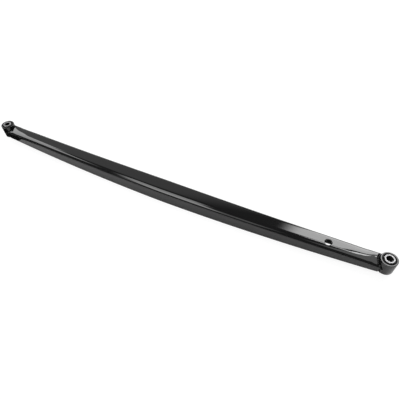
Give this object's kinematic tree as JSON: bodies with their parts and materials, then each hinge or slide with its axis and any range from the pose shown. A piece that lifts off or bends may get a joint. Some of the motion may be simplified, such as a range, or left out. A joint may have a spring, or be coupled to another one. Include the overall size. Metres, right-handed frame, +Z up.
{
  "type": "panhard rod",
  "caption": "Pressed channel panhard rod, bowed and deepest at mid-length, with a rubber-bushed eye welded across each end for a bracket bolt.",
  "frame": {"origin": "centre of the left bolt bore, halfway along it", "axes": "+X from the left bore to the right bore, +Z up along the bolt bores towards the web side, -Y towards the side that the channel bows to"},
  "size_m": [1.116, 0.052, 0.0473],
  "materials": {
    "black_paint": "gloss black chassis paint",
    "weld_paint": "gloss black paint over the rippled weld bead",
    "shell_steel": "dark phosphated steel",
    "bush_rubber": "matt moulded rubber",
    "sleeve_zinc": "zinc plated, turned end faces"
  },
  "bodies": {
    "root": {"channel": "black_paint", "left_eye_tube": "black_paint", "left_eye_weld": "weld_paint", "left_bush_shell": "shell_steel", "left_bush_rubber": "bush_rubber", "left_bush_sleeve": "sleeve_zinc", "right_eye_tube": "black_paint", "right_eye_weld": "weld_paint", "right_bush_shell": "shell_steel", "right_bush_rubber": "bush_rubber", "right_bush_sleeve": "sleeve_zinc"}
  },
  "joints": []
}
